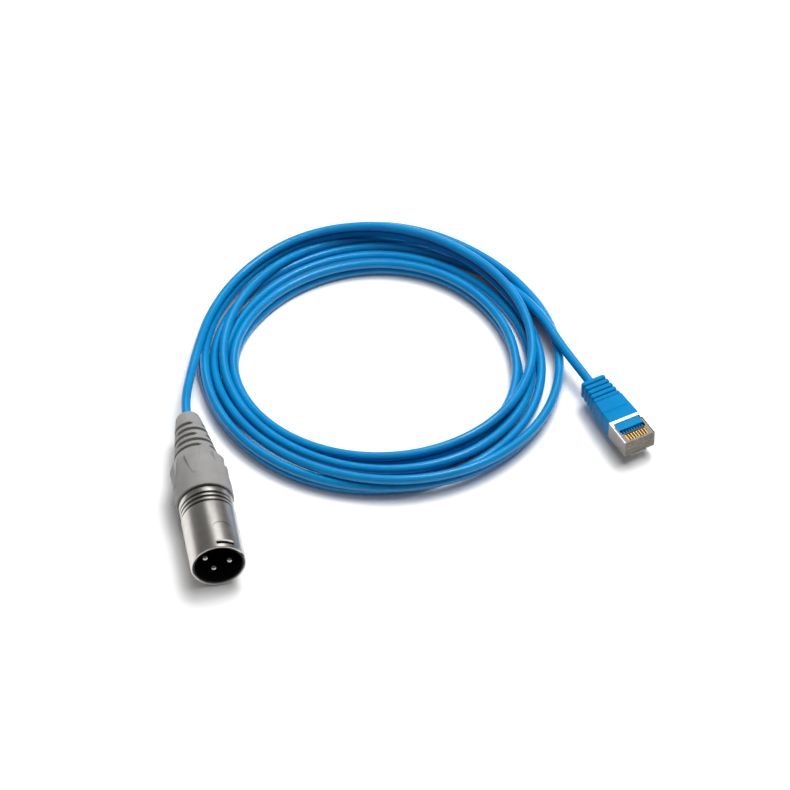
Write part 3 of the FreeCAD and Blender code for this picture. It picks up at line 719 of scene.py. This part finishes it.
def make_cuff():
    stations = [step * STATION_STEP for step in range(int(RIDGES_END / STATION_STEP) + 2)]
    stations += [11.2, 12.5, 14.0, 15.5, 16.1, 16.2, 16.3, 16.4, 16.5, 18.0, 20.0, 21.1, 21.3, CUFF_LENGTH]
    points = []
    for distance in stations:
        half, low, high, inset = cuff_section(distance)
        inset += 0.12 * (1.0 - smooth(0.0, 0.25, CUFF_LENGTH - distance))
        half, low, high = half - inset, low + inset * 0.35, high - inset
        round_off = 0.75 if distance < RIDGES_END else 0.45
        outline = []
        for sx, sy, start in ((1, 1, 0), (-1, 1, 90), (-1, -1, 180), (1, -1, 270)):
            cx = sx * (half - round_off)
            cy = (high - round_off) if sy > 0 else (low + round_off)
            for step in range(CORNER_STEPS + 1):
                angle = math.radians(start + 90.0 * step / CORNER_STEPS)
                outline.append((cx + round_off * math.cos(angle), cy + round_off * math.sin(angle)))
        ring = len(outline)
        points += [(x, y, CUFF_FRONT - CUFF_LENGTH + distance) for x, y in outline]
    faces = bands(len(stations), ring)
    # the rear face runs in to a short collar round the cable, the front face to the crimp
    collar = len(points)
    for radius, depth in COLLAR:
        for index in range(ring):
            x, y, rear = points[index]
            angle = math.atan2(y - PLUG_MIDDLE, x)
            points.append((radius * math.cos(angle), PLUG_MIDDLE + radius * math.sin(angle), rear + depth))
    faces += band(0, collar, ring)
    faces += band(collar, collar + ring, ring)
    faces += band(collar + ring, collar + 2 * ring, ring)
    last = (len(stations) - 1) * ring
    mouth = len(points)
    for depth in (0.0, MOUTH_DEPTH):
        for index in range(ring):
            x, y, _ = points[last + index]
            above = (y - PLUG_MIDDLE) * MOUTH_SHARE
            points.append((x * MOUTH_SHARE, PLUG_MIDDLE + above, CUFF_FRONT - depth))
    faces += band(last, mouth, ring) + band(mouth, mouth + ring, ring)
    mesh = mesh_from("plug_boot_shape", points, faces, PLUG, sharp=38.0)
    boot = add_object("plug_boot_shape", mesh, boot_blue, "cable", "boot_blue", "plug_boot")
    # painted shade in the valleys between the rolls
    give_faces_painted_light(mesh, valley_painted_shade, PLUG, in_shaded_valley)
    return boot


make_cuff()


# ---------------------------------------------------------------- modular plug

CONTACT_COUNT = 8
CONTACT_PITCH = 1.02
BAR_HALF_WIDTH = 4.7
BAR_FLOOR = 3.4
# height and the two ends along the plug of the bar, its comb and the comb's teeth
BAR_TOP, BAR_REAR, BAR_FRONT = 6.55, -10.25, -5.95
COMB_TOP, COMB_REAR, COMB_FRONT = 5.0, -6.2, -4.9
TOOTH_FLOOR, TOOTH_TOP, TOOTH_FRONT = 4.6, 5.75, -4.55
TOOTH_HALF_WIDTH = 0.24


def make_load_bar():
    """The flat bar, with a lower comb whose teeth stand between the contacts."""
    parts = [block("bar", (-BAR_HALF_WIDTH, BAR_FLOOR, BAR_REAR), (BAR_HALF_WIDTH, BAR_TOP, BAR_FRONT),
                   PLUG, 0.18),
             block("comb", (-BAR_HALF_WIDTH, BAR_FLOOR, COMB_REAR), (BAR_HALF_WIDTH, COMB_TOP, COMB_FRONT),
                   PLUG, 0.1)]
    for index in range(CONTACT_COUNT + 1):
        middle = CONTACT_PITCH * (index - CONTACT_COUNT / 2)
        parts.append(block("tooth", (middle - TOOTH_HALF_WIDTH, TOOTH_FLOOR, COMB_REAR),
                           (middle + TOOTH_HALF_WIDTH, TOOTH_TOP, TOOTH_FRONT), PLUG, 0.1))
    mesh = joined("plug_load_bar_shape", parts)
    add_object("plug_load_bar_shape", mesh, bar_blue, "cable", "bar_blue", "plug_load_bar")


make_load_bar()


def finish_node(name, material, bevel=0.0, segments=2):
    """Gives a carried-over node its material and, where asked, soft edges."""
    node = frame["nodes"][name]
    if not node.data.materials:
        node.data.materials.append(material)
    for material_slot in node.material_slots:
        material_slot.material = material
    if bevel:
        softener = node.modifiers.new("soft_edges", "BEVEL")
        softener.width = bevel * MM
        softener.segments = segments
        softener.limit_method = "ANGLE"
        softener.angle_limit = math.radians(40.0)
        softener.harden_normals = False


# height above the plug's underside where the shield's folded band starts to be its top
BAND_LEVEL = 6.7
# the block of contact slots that gets painted shade: its rear, its front, its floor and half its width
SLOTS_REAR, SLOTS_FRONT, SLOTS_FLOOR, SLOTS_HALF_WIDTH = -4.8, -0.65, 2.5, 4.3


def in_shaded_contact_slots(middle, normal):
    inside = abs(middle.x) < SLOTS_HALF_WIDTH and middle.y > SLOTS_FLOOR
    return inside and SLOTS_REAR < middle.z < SLOTS_FRONT


for name in ("xlr_liner", "xlr_insert"):
    finish_node(name, black)
for name in ("xlr_wire_1", "xlr_wire_2", "xlr_wire_3", "plug_wires"):
    finish_node(name, wire_amber)
for name in ("xlr_jacket_end", "plug_jacket_end"):
    finish_node(name, jacket)
finish_node("xlr_earth_lug", bright, 0.08)
finish_node("xlr_chuck", chuck_cream, 0.15)
finish_node("plug_shield", tin_painted_shade, 0.1)
# painted highlight: the top of the folded band gets a bright copy of the plating, and its sides a dark
# copy, painted shade
give_faces_painted_light(frame["nodes"]["plug_shield"].data, tin_painted_highlight, PLUG,
              lambda middle, normal: normal.z > 0.9 and middle.y > BAND_LEVEL)
finish_node("plug_housing", clear, 0.05)
# painted shade: the slots that the contacts stand in get a near-black copy of the clear plastic
give_faces_painted_light(frame["nodes"]["plug_housing"].data, comb_painted_shade, PLUG, in_shaded_contact_slots)
# the latch's lighter clear is painted light
finish_node("plug_latch", latch_painted_light, 0.12)
for index in range(1, CONTACT_COUNT + 1):
    finish_node(f"plug_contact_{index}", gold, 0.06)
